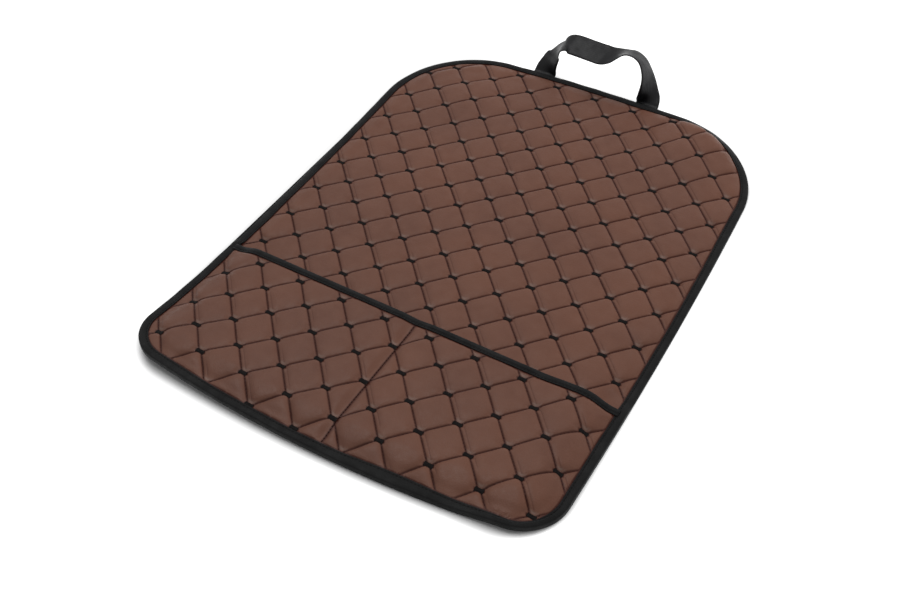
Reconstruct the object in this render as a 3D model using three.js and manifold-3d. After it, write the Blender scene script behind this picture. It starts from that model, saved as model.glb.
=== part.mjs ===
// Car seat back organizer: a quilted mat with a wide two-section pocket along its lower end, an edge
// binding all round, a folded tape along the pocket's mouth and a carrying loop of webbing at the top.
// Millimetres, +Z up. The mat lies on its back with its top edge towards +Y. The origin is on the
// surface that it lies on, under the middle of the whole thing, loop included.

import * as THREE from "three";
import Module from "manifold-3d";

const wasm = await Module();
wasm.setup();

// Mat outline
const matWidth = 448;
const matLength = 614;
const topCornerRadius = 112;
const bottomCornerRadius = 40;
const topArch = 12; // how far the middle of the top edge stands past its ends
const bottomBow = 16.5; // the same at the bottom edge
const sideways = 7.6; // how far the mat, as it lies, bends to the right at the middle of its length
const cornerSteps = 6;
const edgeStep = 50; // longest straight piece along an edge

// Quilted sheet, used for the mat and for the pocket
const quiltPitchX = 50; // knot to knot across the mat
const quiltPitchY = 49.4; // knot to knot along the mat
const seamThickness = 2.2; // at the stitch lines
const puffHeight = 2.8; // of a cell above its stitch lines
const puffTop = 0.66; // the flat top's share of the cell
const edgePuff = 0.5; // share of the puff height that is left beside a binding
const edgePuffRun = 22; // how far in from a binding the puffs reach their full height
const knotLength = 5;
const knotWidth = 3;
const knotHeight = 0.9;
const knotEndSlope = 0.9;
const matKnot = { x: 6, y: -8.1 }; // a knot of the mat's quilting
const pocketKnot = { x: 30.9, y: -148.8 }; // a knot of the pocket's quilting

// Folded tape round the mat's edge and along the pocket's mouth
const tapeThickness = 1;
const tapeChamfer = 1.1;
const edgeTapeReach = 9;
const mouthTapeReach = 8;
const tongueThickness = 2.2; // a sheet's edge, pressed flat inside the tape
const clearance = 0.3; // between pieces that touch

// Pocket
const pocketDepth = 175; // from the mouth to the mat's bottom edge, in the middle
const pocketTilt = THREE.MathUtils.degToRad(-1.3); // the pocket is sewn on a little askew
const pocketGap = 4.7; // open height over the mat's puffs
const pocketRim = 5; // lies flat inside the edge binding
const pocketRun = 30; // how far in from that rim the pocket reaches its full height
const pressedRim = 11; // of the mat under the pocket's rim, pressed flat inside the edge binding
const dividerX = 11;
const dividerPinch = 1.5; // how far the divider seam pulls the pocket down
const dividerRun = 19;
const bindingStepRun = 12; // length over which the edge binding grows from one sheet to two
const pocketFringe = 20; // length above the mouth over which the mat's edge puffs are pressed down

// How the soft mat lies: its lower left corner curls up, and its upper part has two low swells
const curlHeight = 10;
const curlStart = 233; // distance from the middle, towards the corner, where the curl begins
const curlLength = 123;
const curlDirection = { x: -0.41, y: -0.91 };
const swellHeight = 4;
const swellPlace = { x: 137, y: 226 };
const swellRadius = { x: 78, y: 74 };

// Carrying loop
const strapWidth = 28;
const strapThickness = 1.6;
const strapTab = 30; // sewn end under the mat's top edge
const strapSteps = 30;
// The loop's way as it stands in the photograph, from its left end to its right end: the middle of the
// webbing, from the middle of the mat's top edge, and the direction across it.
const strapRoute = [
  { at: [-70, 5, 3.5], across: [-1, 0, 0] },
  { at: [-67, 8, 14], across: [-0.9, 0.43, 0.05] },
  { at: [-63, 9, 23.5], across: [-0.77, 0.64, 0] },
  { at: [-59.5, 12.5, 30.5], across: [-0.53, 0.84, -0.1] },
  { at: [-53, 14.5, 40], across: [-0.26, 0.96, -0.09] },
  { at: [-42.5, 17, 44], across: [-0.23, 0.87, 0.43] },
  { at: [-15.5, 15.5, 44], across: [-0.02, 0.87, 0.48] },
  { at: [-2.5, 15.5, 43.5], across: [-0.08, 0.88, 0.47] },
  { at: [8, 15.5, 46], across: [-0.2, 0.95, 0.22] },
  { at: [24, 19.5, 52.5], across: [-0.1, 0.96, -0.26] },
  { at: [36, 21, 53], across: [-0.06, 0.96, -0.29] },
  { at: [47, 20, 47.5], across: [0.01, 0.95, -0.3] },
  { at: [55, 16, 38], across: [0.12, 0.96, -0.25] },
  { at: [60, 12, 27], across: [0.33, 0.93, -0.15] },
  { at: [63, 8, 15.5], across: [0.66, 0.74, -0.05] },
  { at: [65, 5, 3.5], across: [1, 0, 0] },
];

// Worked out from the sizes above
const strapEnds = [strapRoute[0], strapRoute[strapRoute.length - 1]];
const halfWidth = matWidth / 2;
const topY = matLength / 2;
const bottomY = -matLength / 2;
const matPuffTop = seamThickness + puffHeight;
const firstTongue = tapeThickness + clearance;
const secondTongue = firstTongue + tongueThickness + clearance;
const pocketPlateau = matPuffTop + pocketGap;
const mouthY = bottomY + pocketDepth;
const mouthMiddle = sideways * (1 - (mouthY / topY) ** 2);
const strapSlot = strapThickness + clearance;
const beyond = 130; // a cutter's reach past the mat
const deep = 60; // a cutter's reach below and above the mat
const liftStep = 42; // spacing of the points that the mat's back is shaped by

const smooth = (t) => THREE.MathUtils.smoothstep(t, 0, 1);

// Height of the mat's back over the surface below it
function lift(x, y) {
  const along = x * curlDirection.x + y * curlDirection.y - curlStart;
  const curl = THREE.MathUtils.clamp(along / curlLength, 0, 1.15);
  const swell = Math.hypot((Math.abs(x) - swellPlace.x) / swellRadius.x, (y - swellPlace.y) / swellRadius.y);
  const rise = swell < 1 ? Math.cos((swell * Math.PI) / 2) ** 2 : 0;
  return curlHeight * curl ** 2 + swellHeight * rise;
}

// Where the mat's middle line lies across it
function middleX(y) {
  return sideways * (1 - (y / topY) ** 2);
}

// Distance in from the mat's side and bottom edges
function edgeDistance(x, y) {
  const fromMiddle = Math.abs(x - middleX(y));
  const edgeY = bottomY + bottomBow * (fromMiddle / halfWidth) ** 2;
  const acrossCorner = fromMiddle - (halfWidth - bottomCornerRadius);
  const downCorner = edgeY + bottomCornerRadius - y;
  if (acrossCorner > 0 && downCorner > 0) {
    return bottomCornerRadius - Math.hypot(acrossCorner, downCorner);
  }
  return bottomCornerRadius - Math.max(acrossCorner, downCorner);
}

// Distance in from the mat's top corners and top edge
function topDistance(x, y) {
  const fromMiddle = Math.abs(x - middleX(y));
  const edgeY = topY - topArch * (fromMiddle / halfWidth) ** 2;
  const acrossCorner = fromMiddle - (halfWidth - topCornerRadius);
  const upCorner = y - (edgeY - topCornerRadius);
  if (acrossCorner > 0 && upCorner > 0) {
    return topCornerRadius - Math.hypot(acrossCorner, upCorner);
  }
  return topCornerRadius - Math.max(acrossCorner, upCorner);
}

// Distance down from the pocket's mouth
function mouthDistance(x, y) {
  return mouthY + x * Math.tan(pocketTilt) - y;
}

// How strongly the divider seam pulls the pocket down at x, from 0 to 1
function dividerPull(x) {
  return 1 - smooth(Math.abs(x - dividerX) / dividerRun);
}

// Height of the mat's stitch lines, raised beside the edge where the tape passes under it
function matSeam(x, y) {
  const inside = Math.min(edgeDistance(x, y), topDistance(x, y)) - edgeTapeReach;
  return lift(x, y) + seamThickness + firstTongue * (1 - smooth(inside / edgePuffRun));
}

// Height of the mat's puffs. They are lower beside the binding, and pressed flat under the pocket's rim.
function matPuff(x, y) {
  const inside = Math.min(edgeDistance(x, y), topDistance(x, y)) - edgeTapeReach;
  const underPocket = smooth(1.5 + mouthDistance(x, y) / pocketFringe);
  const bare = edgePuff + (1 - edgePuff) * smooth(inside / edgePuffRun);
  const pressed = smooth((inside - pressedRim) / pocketRun);
  return puffHeight * (bare + (pressed - bare) * underPocket);
}

// Height of the mouth tape's underside, and of the pocket's away from its mouth
function pocketRise(x, y) {
  const inside = edgeDistance(x, y) - edgeTapeReach - pocketRim;
  const full = pocketPlateau - dividerPinch * dividerPull(x);
  return lift(x, y) + secondTongue + (full - secondTongue) * smooth(inside / pocketRun);
}

// Height of the pocket's underside, raised beside its mouth where the tape passes under it
function pocketBase(x, y) {
  const inside = mouthDistance(x, y) - mouthTapeReach;
  return pocketRise(x, y) + firstTongue * (1 - smooth(inside / edgePuffRun));
}

function pocketSeam(x, y) {
  return pocketBase(x, y) + seamThickness;
}

function pocketPuff(x, y) {
  const inside = Math.min(edgeDistance(x, y) - edgeTapeReach, mouthDistance(x, y) - mouthTapeReach);
  const free = Math.min(smooth(inside / edgePuffRun), 1 - dividerPull(x));
  return puffHeight * (edgePuff + (1 - edgePuff) * free);
}

// A closed solid from points and triangles
function solidOf(points, triangles) {
  return new wasm.Manifold(
    new wasm.Mesh({
      numProp: 3,
      vertProperties: new Float32Array(points.flat()),
      triVerts: new Uint32Array(triangles.flat()),
    }),
  );
}

// Triangles of a flat outline given as [u, v] points, counterclockwise
function triangulate(outline) {
  const contour = outline.map(([u, v]) => new THREE.Vector2(u, v));
  return THREE.ShapeUtils.triangulateShape(contour, []).map(([a, b, c]) => {
    const turn = contour[b].clone().sub(contour[a]).cross(contour[c].clone().sub(contour[a]));
    return turn > 0 ? [a, b, c] : [a, c, b];
  });
}

// A solid through a row of like rings, each counterclockwise about the way of travel. A closed row
// joins its last ring to its first, and an open one is capped with its flat section.
function loft(rings, section, closed) {
  const size = rings[0].length;
  const triangles = [];
  const spans = closed ? rings.length : rings.length - 1;
  for (let i = 0; i < spans; i++) {
    const near = i * size;
    const next = ((i + 1) % rings.length) * size;
    for (let k = 0; k < size; k++) {
      const after = (k + 1) % size;
      triangles.push([near + k, near + after, next + after], [near + k, next + after, next + k]);
    }
  }
  if (!closed) {
    const last = (rings.length - 1) * size;
    for (const [a, b, c] of triangulate(section)) {
      triangles.push([a, c, b], [last + a, last + b, last + c]);
    }
  }
  return solidOf(rings.flat(), triangles);
}

// Rings of a section along stations. The section's u runs in from the edge and its v runs up.
function ringsAlong(stations, sectionAt, rise) {
  return stations.map((station) =>
    sectionAt(station).map(([u, v]) => {
      const x = station.x + station.inX * u;
      const y = station.y + station.inY * u;
      return [x, y, v + rise(x, y)];
    }),
  );
}

// Evenly spaced values from a to b, no further apart than edgeStep, without b itself
function evenly(a, b) {
  const count = Math.max(1, Math.ceil(Math.abs(b - a) / edgeStep));
  return Array.from({ length: count }, (_, i) => a + ((b - a) * i) / count);
}

// Points of the corner arc round (x, y) from a start angle in quarter turns, without its end
function cornerArc(x, y, radius, quarter) {
  return Array.from({ length: cornerSteps }, (_, i) => {
    const angle = ((quarter + i / cornerSteps) * Math.PI) / 2;
    return [x + radius * Math.cos(angle), y + radius * Math.sin(angle)];
  });
}

// The mat's edge, counterclockwise, as stations with the direction in from the edge
function edgeStations() {
  const top = topY - topArch;
  const bottom = bottomY + bottomBow;
  const topCornerX = halfWidth - topCornerRadius;
  const topCornerY = top - topCornerRadius;
  const bottomCornerX = halfWidth - bottomCornerRadius;
  const bottomCornerY = bottom + bottomCornerRadius;
  const mouthRight = mouthY + (mouthMiddle + halfWidth) * Math.tan(pocketTilt);
  const mouthLeft = mouthY + (mouthMiddle - halfWidth) * Math.tan(pocketTilt);
  const rightSide = [
    ...evenly(bottomCornerY, mouthRight),
    mouthRight,
    ...evenly(mouthRight + bindingStepRun, topCornerY),
  ];
  const leftSide = [
    ...evenly(topCornerY, mouthLeft + bindingStepRun),
    mouthLeft + bindingStepRun,
    ...evenly(mouthLeft, bottomCornerY),
  ];
  const plain = [
    ...rightSide.map((y) => [halfWidth, y]),
    ...cornerArc(topCornerX, topCornerY, topCornerRadius, 0),
    ...evenly(topCornerX, -topCornerX).map((x) => [x, top]),
    ...cornerArc(-topCornerX, topCornerY, topCornerRadius, 1),
    ...leftSide.map((y) => [-halfWidth, y]),
    ...cornerArc(-bottomCornerX, bottomCornerY, bottomCornerRadius, 2),
    ...evenly(-bottomCornerX, bottomCornerX).map((x) => [x, bottom]),
    ...cornerArc(bottomCornerX, bottomCornerY, bottomCornerRadius, 3),
  ];
  const bowed = plain.map(([x, plainY]) => {
    const bow = 1 - (x / halfWidth) ** 2;
    const y = plainY + bow * (plainY > 0 ? topArch : -bottomBow);
    return [x + middleX(y), y];
  });
  return bowed.map(([x, y], i) => {
    const [beforeX, beforeY] = bowed[(i + bowed.length - 1) % bowed.length];
    const [afterX, afterY] = bowed[(i + 1) % bowed.length];
    const length = Math.hypot(afterX - beforeX, afterY - beforeY);
    return { x, y, inX: (beforeY - afterY) / length, inY: (afterX - beforeX) / length };
  });
}

// Height of the edge binding: it holds one sheet above the pocket's mouth and two below it
function bindingHeight({ x, y }) {
  const doubled = smooth(1 + mouthDistance(x, y) / bindingStepRun);
  return firstTongue + tongueThickness + firstTongue + doubled * (tongueThickness + clearance);
}

// Folded tape open towards the mat: lower leg, outer wall and upper leg
function tapeSection(height, reach) {
  return [
    [tapeChamfer, 0],
    [reach, 0],
    [reach, tapeThickness],
    [tapeThickness, tapeThickness],
    [tapeThickness, height - tapeThickness],
    [reach, height - tapeThickness],
    [reach, height],
    [tapeChamfer, height],
    [0, height - tapeChamfer],
    [0, tapeChamfer],
  ];
}

// What is cut off a sheet so that only a tongue of it enters the tape
function tongueCutSection(tongueBottom, reach) {
  const inner = reach + clearance;
  const outer = tapeThickness + clearance;
  const tongueTop = tongueBottom + tongueThickness;
  return [
    [-beyond, -deep],
    [inner, -deep],
    [inner, tongueBottom],
    [outer, tongueBottom],
    [outer, tongueTop],
    [inner, tongueTop],
    [inner, deep],
    [-beyond, deep],
  ];
}

function tongueCut(tongueBottom) {
  const section = tongueCutSection(tongueBottom, edgeTapeReach);
  return loft(ringsAlong(edgeStations(), () => section, lift), section, true);
}

// Stations along the pocket's mouth, from its right end to its left end. The ends are the given
// distance from the mat's middle line.
function mouthStations(end) {
  const rim = halfWidth - edgeTapeReach - pocketRim;
  const rimRight = mouthMiddle + rim;
  const rimLeft = mouthMiddle - rim;
  const quarters = [0, 0.25, 0.5, 0.75];
  const stops = [
    mouthMiddle + end,
    ...quarters.map((share) => rimRight - share * pocketRun),
    ...evenly(rimRight - pocketRun, dividerX + dividerRun),
    ...quarters.map((share) => dividerX + dividerRun * (1 - share)),
    ...quarters.map((share) => dividerX - dividerRun * share),
    ...evenly(dividerX - dividerRun, rimLeft + pocketRun),
    ...quarters.map((share) => rimLeft + (1 - share) * pocketRun),
    rimLeft,
    mouthMiddle - end,
  ];
  return stops.map((x) => ({
    x,
    y: mouthY + x * Math.tan(pocketTilt),
    inX: Math.sin(pocketTilt),
    inY: -Math.cos(pocketTilt),
  }));
}

// Cells and knots of the quilting, as flat outlines with the kind of each. A knot is a short bar
// across the mat, and the stitch lines run from a bar's end to the ends of its four neighbours.
function quiltPieces(knot, turn, from, to) {
  const stepX = quiltPitchX / 2;
  const stepY = quiltPitchY / 2;
  const barX = knotLength / 2;
  const barY = knotWidth / 2;
  const sideX = stepX - barX;
  const endY = stepY - barY;
  const place = (column, row, u, v) => {
    const x = column * stepX + u;
    const y = row * stepY + v;
    return [
      knot.x + x * Math.cos(turn) - y * Math.sin(turn),
      knot.y + x * Math.sin(turn) + y * Math.cos(turn),
    ];
  };
  const columnFrom = Math.floor((from.x - knot.x) / stepX);
  const columnTo = Math.ceil((to.x - knot.x) / stepX);
  const rowFrom = Math.floor((from.y - knot.y) / stepY);
  const rowTo = Math.ceil((to.y - knot.y) / stepY);
  const pieces = [];
  for (let row = rowFrom; row <= rowTo; row++) {
    for (let column = columnFrom; column <= columnTo; column++) {
      const at = (u, v) => place(column, row, u, v);
      if ((row + column) % 2 === 0) {
        const outline = [at(-barX, -barY), at(barX, -barY), at(barX, barY), at(-barX, barY)];
        const ridge = [at(knotEndSlope - barX, 0), at(barX - knotEndSlope, 0)];
        pieces.push({ kind: "knot", outline, inner: ridge });
      } else {
        const outline = [
          at(sideX, -barY),
          at(sideX, barY),
          at(barX, endY),
          at(-barX, endY),
          at(-sideX, barY),
          at(-sideX, -barY),
          at(-barX, -endY),
          at(barX, -endY),
        ];
        const flat = [
          at(sideX * puffTop, 0),
          at(0, endY * puffTop),
          at(-sideX * puffTop, 0),
          at(0, -endY * puffTop),
        ];
        pieces.push({ kind: "cell", outline, inner: flat });
      }
    }
  }
  return pieces;
}

// The triangles on a cell's or knot's upper side, from its outline's and its inner points' numbers
function upperTriangles(kind, rim, inner) {
  if (kind === "knot") {
    const [left, right] = inner;
    return [
      [rim[0], rim[1], right],
      [rim[0], right, left],
      [rim[1], rim[2], right],
      [rim[2], rim[3], left],
      [rim[2], left, right],
      [rim[3], rim[0], left],
    ];
  }
  const sides = inner.flatMap((corner, i) => {
    const next = inner[(i + 1) % inner.length];
    const rimNear = rim[2 * i + 1];
    const rimFar = rim[(2 * i + 2) % rim.length];
    return [
      [rim[2 * i], rimNear, corner],
      [rimNear, rimFar, next],
      [rimNear, next, corner],
    ];
  });
  return [...sides, [inner[0], inner[1], inner[3]], [inner[1], inner[2], inner[3]]];
}

// The loop of points round a set of directed border pairs
function borderLoop(borders) {
  const after = new Map(borders.values());
  const [start] = after.keys();
  const loop = [start];
  for (let point = after.get(start); point !== start; point = after.get(point)) {
    loop.push(point);
  }
  return loop;
}

// A quilted solid over a rectangle, from the cells' and knots' upper sides down to its underside. The
// underside follows the function `base`, or is flat and `deep` below where none is given.
function quiltedSolid({ knot, turn, from, to, seam, puff, base }) {
  const points = [];
  const numbers = new Map();
  const triangles = [];
  const borders = new Map();
  const rimPoint = ([x, y]) => {
    const key = `${x.toFixed(3)},${y.toFixed(3)}`;
    if (!numbers.has(key)) {
      numbers.set(key, points.length);
      points.push([x, y, base ? base(x, y) : -deep], [x, y, seam(x, y)]);
    }
    return numbers.get(key);
  };
  const innerPoint = (kind, [x, y]) => {
    const height = kind === "knot" ? knotHeight * puff(x, y) / puffHeight : puff(x, y);
    points.push([x, y, seam(x, y) + height]);
    return points.length - 1;
  };
  for (const { kind, outline, inner } of quiltPieces(knot, turn, from, to)) {
    const rim = outline.map(rimPoint);
    const raised = inner.map((point) => innerPoint(kind, point));
    triangles.push(...upperTriangles(kind, rim.map((number) => number + 1), raised));
    if (base) {
      for (let k = 1; k < rim.length - 1; k++) {
        triangles.push([rim[0], rim[k + 1], rim[k]]);
      }
    }
    rim.forEach((number, k) => {
      const next = rim[(k + 1) % rim.length];
      const opposite = `${next},${number}`;
      if (borders.has(opposite)) {
        borders.delete(opposite);
      } else {
        borders.set(`${number},${next}`, [number, next]);
      }
    });
  }
  for (const [a, b] of borders.values()) {
    triangles.push([a, b, b + 1], [a, b + 1, a + 1]);
  }
  if (!base) {
    const loop = borderLoop(borders);
    for (const [a, b, c] of triangulate(loop.map((number) => points[number]))) {
      triangles.push([loop[a], loop[c], loop[b]]);
    }
  }
  return solidOf(points, triangles);
}

// Everything over the mat's back
function aboveBack() {
  const columns = Math.ceil(halfWidth / liftStep);
  const rows = Math.ceil(topY / liftStep);
  const rowLength = 2 * columns + 1;
  const count = rowLength * (2 * rows + 1);
  const level = (z) =>
    Array.from({ length: count }, (_, i) => {
      const x = ((i % rowLength) - columns) * liftStep;
      const y = (Math.floor(i / rowLength) - rows) * liftStep;
      return [x, y, z ?? lift(x, y)];
    });
  const triangles = [];
  for (let i = 0; i + rowLength + 1 < count; i++) {
    if (i % rowLength < rowLength - 1) {
      const corners = [i, i + 1, i + rowLength + 1, i + rowLength];
      triangles.push([corners[0], corners[2], corners[1]], [corners[0], corners[3], corners[2]]);
    }
  }
  const sides = new Map();
  for (const [a, b, c] of triangles) {
    for (const [from, to] of [[a, b], [b, c], [c, a]]) {
      if (!sides.delete(`${to},${from}`)) {
        sides.set(`${from},${to}`, [from, to]);
      }
    }
  }
  const lid = borderLoop(sides);
  const points = level();
  const lidPoints = lid.map((number) => [points[number][0], points[number][1], 2 * deep]);
  const upper = new Map(lid.map((number, k) => [number, points.length + k]));
  for (const [from, to] of sides.values()) {
    triangles.push([to, from, upper.get(from)], [to, upper.get(from), upper.get(to)]);
  }
  for (const [a, b, c] of triangulate(lidPoints)) {
    triangles.push([points.length + a, points.length + b, points.length + c]);
  }
  return solidOf([...points, ...lidPoints], triangles);
}

// The channel for the strap's two ends under the mat's top edge
function strapChannel(route) {
  const half = strapWidth / 2 + clearance;
  const from = topY + route.at[1];
  const length = strapTab + route.at[1] + clearance;
  const box = new THREE.BoxGeometry(2 * half, length, deep + strapSlot);
  box.translate(route.at[0], from - length / 2, (strapSlot - deep) / 2);
  return fromGeometry(box);
}

// A manifold solid from a closed three.js geometry
function fromGeometry(geometry) {
  const numbers = new Map();
  const points = [];
  const position = geometry.getAttribute("position");
  const shared = Array.from({ length: position.count }, (_, i) => {
    const point = [position.getX(i), position.getY(i), position.getZ(i)];
    const key = point.map((value) => value.toFixed(4)).join();
    if (!numbers.has(key)) {
      numbers.set(key, points.length);
      points.push(point);
    }
    return numbers.get(key);
  });
  const index = Array.from(geometry.index.array);
  return solidOf(points, [index.map((i) => shared[i])]);
}

// The mat's quilted panel, with its edge pressed flat in the binding and the strap's ends under it
function backPanel() {
  const quilted = quiltedSolid({
    knot: matKnot,
    turn: 0,
    from: { x: -halfWidth, y: bottomY },
    to: { x: halfWidth, y: topY },
    seam: matSeam,
    puff: matPuff,
  });
  const panel = quilted.intersect(aboveBack()).subtract(tongueCut(firstTongue));
  return strapEnds.reduce((rest, end) => rest.subtract(strapChannel(end)), panel);
}

function edgeBinding() {
  const sectionAt = (station) => tapeSection(bindingHeight(station), edgeTapeReach);
  const stations = edgeStations();
  const ring = loft(ringsAlong(stations, sectionAt, lift), sectionAt(stations[0]), true);
  return strapEnds.reduce((rest, end) => rest.subtract(strapChannel(end)), ring);
}

// The pocket's quilted panel, with its rim in the edge binding and its top edge in the mouth tape
function pocketPanel() {
  const quilted = quiltedSolid({
    knot: pocketKnot,
    turn: pocketTilt,
    from: { x: -halfWidth, y: bottomY },
    to: { x: halfWidth, y: mouthY },
    seam: pocketSeam,
    puff: pocketPuff,
    base: pocketBase,
  });
  const section = tongueCutSection(firstTongue, mouthTapeReach);
  const mouthCut = loft(ringsAlong(mouthStations(matWidth), () => section, pocketRise), section, false);
  return quilted.subtract(tongueCut(secondTongue)).subtract(mouthCut);
}

// The tape along the pocket's mouth, up to the edge binding at both ends
function mouthTape() {
  const height = firstTongue + tongueThickness + firstTongue;
  const section = tapeSection(height, mouthTapeReach);
  const end = halfWidth - edgeTapeReach - clearance;
  return loft(ringsAlong(mouthStations(end), () => section, pocketRise), section, false);
}

// The webbing of the carrying loop, with its two flat ends under the mat's edge
function carryingLoop() {
  const lying = strapThickness / 2;
  const [first, last] = strapEnds;
  const foot = (end, fromEdge) => ({ at: [end.at[0], fromEdge, lying], across: end.across });
  const stands = [foot(first, 0), ...strapRoute, foot(last, 0)];
  const middle = new THREE.CatmullRomCurve3(
    stands.map(({ at }) => new THREE.Vector3(at[0], topY + at[1], at[2])),
  );
  const across = new THREE.CatmullRomCurve3(stands.map((stand) => new THREE.Vector3(...stand.across)));
  const section = [
    [-strapWidth / 2, -lying],
    [strapWidth / 2, -lying],
    [strapWidth / 2, lying],
    [-strapWidth / 2, lying],
  ];
  const ringAt = (centre, side, face) =>
    section.map(([u, v]) => centre.clone().addScaledVector(side, u).addScaledVector(face, v).toArray());
  const up = new THREE.Vector3(0, 0, 1);
  const flatRing = (end, fromEdge) =>
    ringAt(new THREE.Vector3(end.at[0], topY + fromEdge, lying), new THREE.Vector3(...end.across), up);
  const standing = Array.from({ length: strapSteps - 1 }, (_, i) => {
    const t = (i + 1) / strapSteps;
    const travel = middle.getTangent(t);
    const side = across.getPoint(t);
    side.addScaledVector(travel, -side.dot(travel)).normalize();
    return ringAt(middle.getPoint(t), side, travel.clone().cross(side));
  });
  const rings = [
    flatRing(first, -strapTab),
    flatRing(first, 0),
    ...standing,
    flatRing(last, 0),
    flatRing(last, -strapTab),
  ];
  return loft(rings, section, false);
}

function meshOf(name, solid, color, roughness) {
  const { vertProperties, triVerts } = solid.getMesh();
  const geometry = new THREE.BufferGeometry();
  geometry.setAttribute("position", new THREE.BufferAttribute(vertProperties, 3));
  geometry.setIndex(new THREE.BufferAttribute(triVerts, 1));
  geometry.computeVertexNormals();
  const material = new THREE.MeshStandardMaterial({ color, roughness, metalness: 0, flatShading: true });
  const mesh = new THREE.Mesh(geometry, material);
  mesh.name = name;
  return mesh;
}

const leatherBrown = 0x6a4c42;
const tapeBlack = 0x1c1c1c;

const organizer = new THREE.Group();
organizer.add(
  meshOf("back_panel", backPanel(), leatherBrown, 0.55),
  meshOf("pocket_panel", pocketPanel(), leatherBrown, 0.55),
  meshOf("edge_binding", edgeBinding(), tapeBlack, 0.8),
  meshOf("pocket_mouth_tape", mouthTape(), tapeBlack, 0.8),
  meshOf("carrying_loop", carryingLoop(), tapeBlack, 0.75),
);

// The origin goes under the middle of the whole thing, loop included
const extent = new THREE.Box3().setFromObject(organizer);
const middle = extent.getCenter(new THREE.Vector3());
organizer.position.set(-middle.x, -middle.y, -extent.min.z);

export default organizer;
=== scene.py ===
import math
from types import SimpleNamespace

import bpy
import numpy as np
from mathutils import Matrix, Vector, geometry


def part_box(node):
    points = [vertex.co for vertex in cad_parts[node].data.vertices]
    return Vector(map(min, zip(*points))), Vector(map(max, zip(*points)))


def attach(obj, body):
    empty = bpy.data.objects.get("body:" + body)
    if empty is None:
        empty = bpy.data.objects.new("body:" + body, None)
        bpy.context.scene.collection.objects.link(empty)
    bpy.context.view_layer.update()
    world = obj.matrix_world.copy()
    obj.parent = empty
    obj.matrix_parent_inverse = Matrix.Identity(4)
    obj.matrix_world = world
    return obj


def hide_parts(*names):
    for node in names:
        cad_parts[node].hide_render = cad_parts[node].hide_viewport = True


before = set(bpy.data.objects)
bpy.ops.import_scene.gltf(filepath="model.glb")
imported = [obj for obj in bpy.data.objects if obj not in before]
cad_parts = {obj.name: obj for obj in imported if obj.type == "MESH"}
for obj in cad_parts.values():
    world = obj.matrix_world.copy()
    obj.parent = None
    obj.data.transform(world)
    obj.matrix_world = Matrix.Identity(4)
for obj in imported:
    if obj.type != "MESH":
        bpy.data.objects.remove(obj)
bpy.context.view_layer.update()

MM = 0.001

# Mat outline
MAT_WIDTH = 448
MAT_LENGTH = 614
TOP_CORNER = 112
BOTTOM_CORNER = 40
TOP_ARCH = 12
BOTTOM_BOW = 16.5
SIDEWAYS = 7.6
HALF_WIDTH = MAT_WIDTH / 2
TOP_Y = MAT_LENGTH / 2
BOTTOM_Y = -MAT_LENGTH / 2

# Quilted sheets
PITCH_X = 50  # knot to knot across the mat
PITCH_Y = 49.4
SEAM = 2.2  # thickness at the stitch lines
PUFF = 2.8  # height of a cell above them
EDGE_PUFF = 0.6  # share of the puff that is left beside a tape
EDGE_RUN = 13
RIM_BULGE = 0.5  # how much fuller the cells beside the edge tape are
CORNER = 2.6  # between the stitch lines' ends at a knot
BAR = 8.8
BAR_WIDTH = 4.6
MAT_KNOT = (6, -8.1)
POCKET_KNOT = (30.9, -148.8)

# Tapes
TAPE = 1.0
EDGE_REACH = 9
MOUTH_REACH = 8
TONGUE = 2.2
CLEAR = 0.3
FIRST_TONGUE = TAPE + CLEAR
SECOND_TONGUE = FIRST_TONGUE + TONGUE + CLEAR
TAPE_HEIGHT = FIRST_TONGUE + TONGUE + FIRST_TONGUE
RIM_STEP = 2.6  # between two sections of the edge tape
TAPE_SEAM = 1.9  # from a tape's inner edge to its stitches
TAPE_STITCH = 3.6
TAPE_THREAD = 0.3

# Pocket
POCKET_DEPTH = 175
POCKET_TILT = math.radians(-1.3)
POCKET_GAP = 4.7
POCKET_TOP = SEAM + PUFF + POCKET_GAP
UNSEEN = 45  # so far below the pocket's mouth the mat under it can't be seen
NEAR_DIVIDER = 27
POCKET_RIM = 5
POCKET_RUN = 24
PRESSED_RIM = 11
DIVIDER_X = 11
DIVIDER_PINCH = 1.5
DIVIDER_RUN = 19
MOUTH_Y = BOTTOM_Y + POCKET_DEPTH
MOUTH_MIDDLE = SIDEWAYS * (1 - (MOUTH_Y / TOP_Y) ** 2)

# How the mat lies
CURL_HEIGHT = 10
CURL_START = 233
CURL_LENGTH = 123
CURL_DIRECTION = (-0.41, -0.91)
SWELL_HEIGHT = 4
SWELL_PLACE = (137, 226)
SWELL_RADIUS = (78, 74)
ROLL_HEIGHT = 8
ROLL_X = 150
ROLL_SPREAD = 44
ROLL_RUN = 16

# Strap
STRAP_WIDTH = 28
STRAP_THICKNESS = 1.6
STRAP_TAB = 30
STRAP_RINGS = 150
TAB_RINGS = 8
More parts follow.
